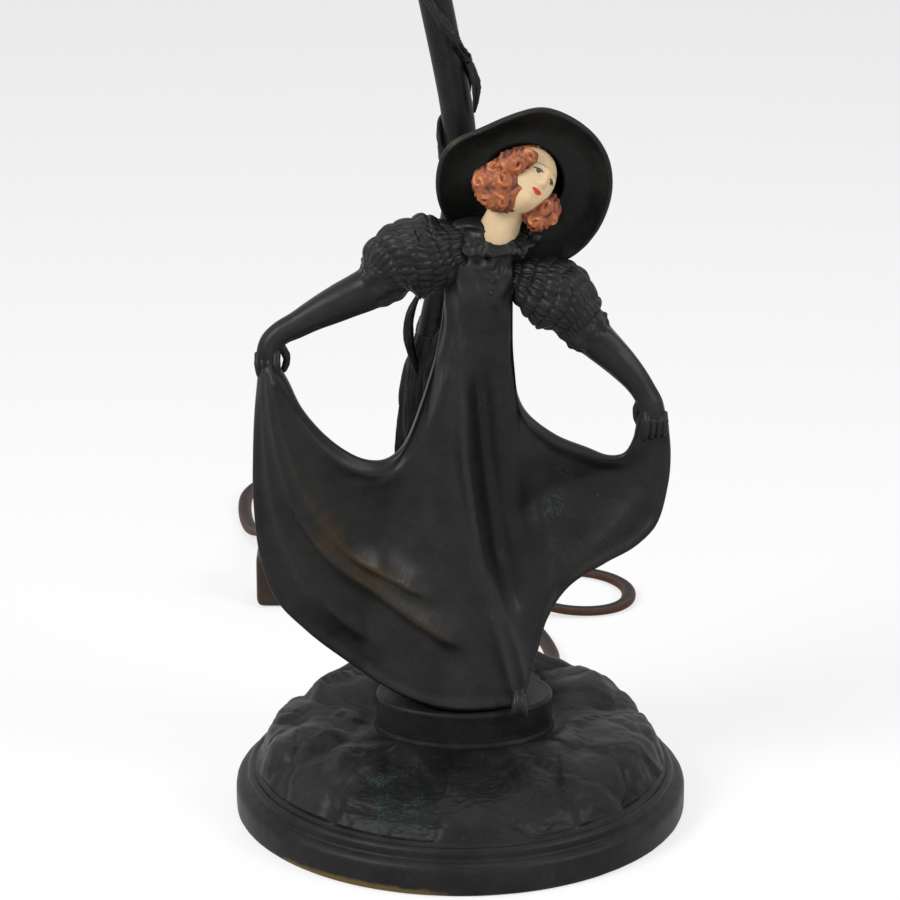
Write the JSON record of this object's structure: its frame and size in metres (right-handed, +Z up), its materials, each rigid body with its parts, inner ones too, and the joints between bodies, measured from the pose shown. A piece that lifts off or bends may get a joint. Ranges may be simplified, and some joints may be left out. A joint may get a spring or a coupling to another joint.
{
  "type": "figural table lamp",
  "caption": "Table lamp with a lady in a held-out skirt and wide hat before a tree trunk on a round rocky base, with a bent stem, screw socket, turn switch and cord.",
  "frame": {"origin": "middle of the base, on the surface that the lamp stands on", "axes": "+Z up, +X to the viewer's right, +Y away from the viewer, towards the back of the lamp"},
  "size_m": [0.1969, 0.4802, 0.544],
  "materials": {
    "rock_patina": "dark bronze patina on rough cast white metal",
    "plinth_patina": "dark bronze patina, smooth, with green spots",
    "gown_patina": "dark bronze patina with brown rub marks, satin",
    "arm_patina": "dark bronze patina, satin",
    "hat_patina": "dark bronze patina, rubbed to brass at the rim",
    "bark_patina": "dark bronze patina over bark",
    "stem_patina": "dark patina on steel pipe, satin",
    "vine_patina": "dark bronze patina over bark",
    "ivory": "ivory coloured composition, painted lips, eyes and brows",
    "hair": "auburn paint with darker recesses",
    "brass": "plain brass",
    "aged_brass": "dark aged brass",
    "steel": "zinc-plated steel",
    "felt": "green felt",
    "card": "pressed insulating card",
    "phenolic": "black phenolic",
    "knob_plastic": "black phenolic, ribbed",
    "cord": "brown flat twin lead, semi-gloss",
    "plug_plastic": "brown moulded plug"
  },
  "bodies": {
    "root": {"base_casting": "rock_patina", "base_plate": "steel", "centre_contact": "brass", "check_ring": "aged_brass", "cord_bushing": "plug_plastic", "cord_coil": "cord", "cord_in_bushing": "cord", "cord_to_coil": "cord", "cord_to_plug": "cord", "face_and_neck": "ivory", "felt_disc": "felt", "figure_bolt": "steel", "figure_washer": "steel", "gown": "gown_patina", "hair": "hair", "hat": "hat_patina", "inner_cord": "cord", "insulating_liner": "card", "left_arm": "arm_patina", "plinth": "plinth_patina", "plug_blades": "brass", "plug_body": "plug_plastic", "right_arm": "arm_patina", "screw_shell": "brass", "socket_cap": "aged_brass", "socket_shell": "aged_brass", "stem_lock_nut": "steel", "stem_tube": "stem_patina", "stem_washer": "steel", "switch_body": "phenolic", "terminal_screws": "brass", "threaded_nipple": "brass", "tree_trunk": "bark_patina", "vine": "vine_patina"},
    "switch_key": {"switch_shaft": "brass", "switch_knob": "knob_plastic"}
  },
  "joints": [
    {"name": "switch_turn", "type": "hinge", "parent": "root", "child": "switch_key", "pos_m": [-0.011, 0.026, 0.5085], "axis": [1, 0, 0], "continuous": true}
  ]
}
